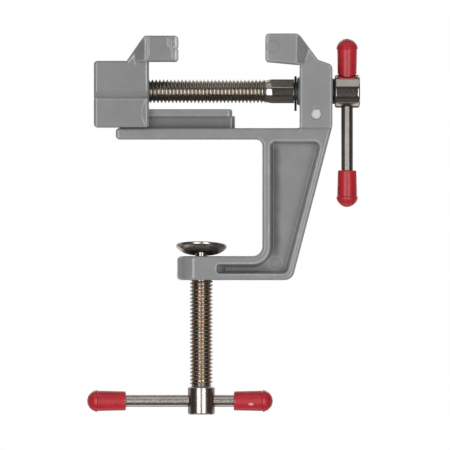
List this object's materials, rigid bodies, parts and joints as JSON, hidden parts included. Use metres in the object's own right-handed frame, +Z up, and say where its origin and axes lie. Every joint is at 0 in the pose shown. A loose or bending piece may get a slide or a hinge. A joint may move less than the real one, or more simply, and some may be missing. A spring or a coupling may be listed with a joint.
{
  "type": "clamp-on bench vise",
  "caption": "Small clamp-on bench vise: grey cast C frame with a fixed jaw, a jaw on a T rail drawn by a lead screw, and a clamp screw with swivel pad; tommy bars with red caps.",
  "frame": {"origin": "on the bench seat under the frame's table, where the clamp screw's axis meets it in the middle plane", "axes": "+Z up, +X from the sliding jaw to the fixed jaw and the screw's head, +Y away from the picture's camera"},
  "size_m": [0.0922, 0.028, 0.1286],
  "materials": {
    "casting_paint": "satin grey paint on die-cast aluminium",
    "plated_steel": "bright nickel plate on steel",
    "black_steel": "black oxide spring steel",
    "red_vinyl": "glossy soft red vinyl"
  },
  "bodies": {
    "frame": {"vise_frame": "casting_paint"},
    "moving_jaw": {"sliding_jaw": "casting_paint"},
    "lead_spindle": {"lead_screw": "plated_steel", "screw_clip": "black_steel"},
    "lead_handle": {"lead_bar": "plated_steel", "lead_upper_grip": "red_vinyl", "lead_lower_grip": "red_vinyl"},
    "rivet": {"pad_rivet": "plated_steel"},
    "clamp_spindle": {"clamp_screw": "plated_steel"},
    "clamp_handle": {"clamp_bar": "plated_steel", "clamp_left_grip": "red_vinyl", "clamp_right_grip": "red_vinyl"},
    "pad": {"swivel_pad": "plated_steel"}
  },
  "joints": [
    {"name": "lead_screw_turn", "type": "hinge", "parent": "frame", "child": "lead_spindle", "pos_m": [0.049, 0, 0.01629], "axis": [-1, 0, 0], "range_deg": [-777.6, 8409.6]},
    {"name": "jaw_slide", "type": "slide", "parent": "frame", "child": "moving_jaw", "axis": [1, 0, 0], "range_m": [-0.0027, 0.0292]},
    {"name": "lead_bar_slide", "type": "slide", "parent": "lead_spindle", "child": "lead_handle", "axis": [0, 0, 1], "range_m": [0, 0.021]},
    {"name": "clamp_lift", "type": "slide", "parent": "frame", "child": "rivet", "axis": [0, 0, 1], "range_m": [0, 0.0339]},
    {"name": "clamp_screw_turn", "type": "hinge", "parent": "rivet", "child": "clamp_spindle", "pos_m": [0, 0, -0.0883], "axis": [0, 0, 1], "range_deg": [0, 9763.2]},
    {"name": "clamp_bar_slide", "type": "slide", "parent": "clamp_spindle", "child": "clamp_handle", "axis": [1, 0, 0], "range_m": [-0.0061, 0.0206]},
    {"name": "pad_tilt", "type": "hinge", "parent": "rivet", "child": "pad", "pos_m": [0, 0, -0.0381], "axis": [0.9635, -0.2677, 0], "range_deg": [0, 18.68]}
  ],
  "couplings": [
    {"joint": "jaw_slide", "follows": "lead_screw_turn", "m_per_rad": 0.00019894},
    {"joint": "clamp_lift", "follows": "clamp_screw_turn", "m_per_rad": 0.00019894}
  ]
}
